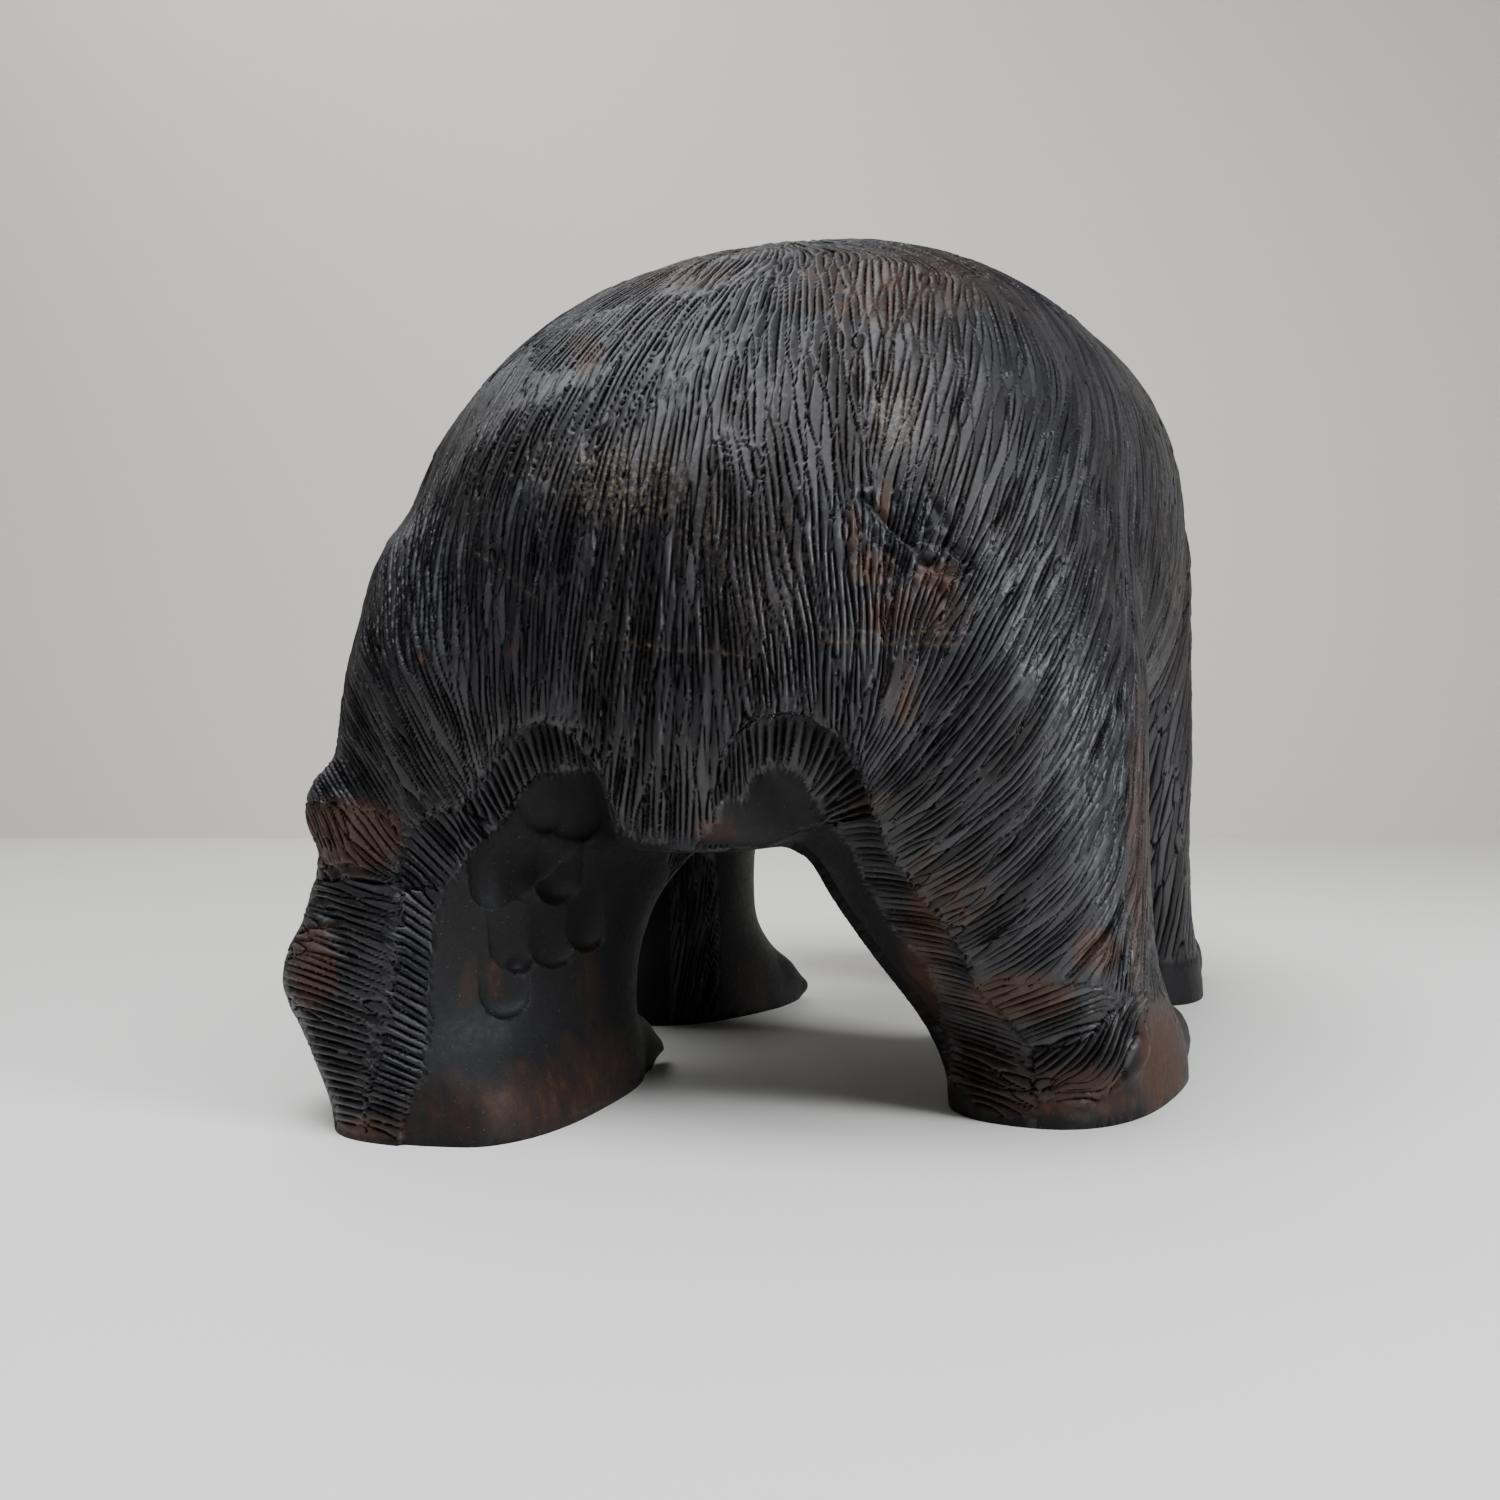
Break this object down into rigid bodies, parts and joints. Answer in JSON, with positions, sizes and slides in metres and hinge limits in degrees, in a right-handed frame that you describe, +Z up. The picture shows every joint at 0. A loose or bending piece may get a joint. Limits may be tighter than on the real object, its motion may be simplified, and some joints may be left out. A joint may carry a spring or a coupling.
{
  "type": "carved wooden bear",
  "caption": "Bear walking on all fours, carved from one block of wood, its fur cut with a small gouge, smooth inside the legs.",
  "frame": {"origin": "middle of the bear's box, on the ground that its soles stand on", "axes": "+Y ahead, from the tail to the nose; +X to the bear's right; +Z up"},
  "size_m": [0.2872, 0.5464, 0.34],
  "materials": {
    "stained_wood": "near-black stain, satin on the fur and matte on the smooth panels, worn brown on the hocks, feet and ridges"
  },
  "bodies": {
    "root": {"bear": "stained_wood"}
  },
  "joints": []
}
